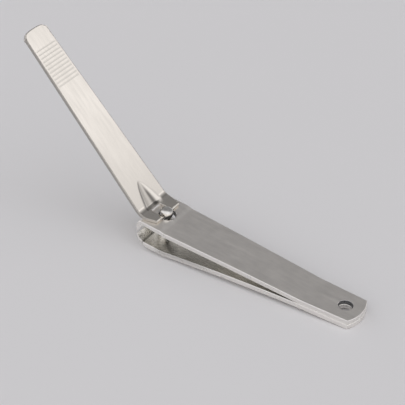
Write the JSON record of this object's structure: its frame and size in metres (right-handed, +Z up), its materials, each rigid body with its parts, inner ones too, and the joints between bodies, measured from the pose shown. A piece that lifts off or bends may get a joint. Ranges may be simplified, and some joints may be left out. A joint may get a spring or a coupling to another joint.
{
  "type": "toenail clipper",
  "caption": "Large lever toenail clipper: two sprung jaw strips joined at the tail, a notched swivelling pin, and a cranked lever with a grooved grip, lifted and leaning over the cutting end.",
  "frame": {"origin": "on the base plane, in the middle of the overall length and width as pictured, with the lever lifted", "axes": "+X to the tail with the cord hole, +Y to the left of someone looking along +X, +Z up; the base plane is what the clipper lies on"},
  "size_m": [0.1258, 0.0168, 0.0636],
  "materials": {
    "jaw_steel": "lengthwise satin grind on the faces, brighter sheared edges",
    "pin_steel": "polished",
    "lever_steel": "bright polished"
  },
  "bodies": {
    "lower_jaw": {"lower_jaw": "jaw_steel"},
    "upper_jaw": {"upper_jaw": "jaw_steel"},
    "pin": {"pin": "pin_steel"},
    "lever": {"lever": "lever_steel"}
  },
  "joints": [
    {"name": "jaw_flex", "type": "hinge", "parent": "lower_jaw", "child": "upper_jaw", "pos_m": [0.04445, 0, 0.00273], "axis": [0, -1, 0], "range_deg": [0, 0.7], "stiffness_Nm_per_rad": 6},
    {"name": "pin_swivel", "type": "hinge", "parent": "lower_jaw", "child": "pin", "pos_m": [-0.01055, 0, 0.0109], "axis": [0.1045, 0, 0.9945], "continuous": true},
    {"name": "lever_pivot", "type": "hinge", "parent": "pin", "child": "lever", "pos_m": [-0.01038, 0, 0.01154], "axis": [0, 1, 0], "range_deg": [0, 140]}
  ]
}
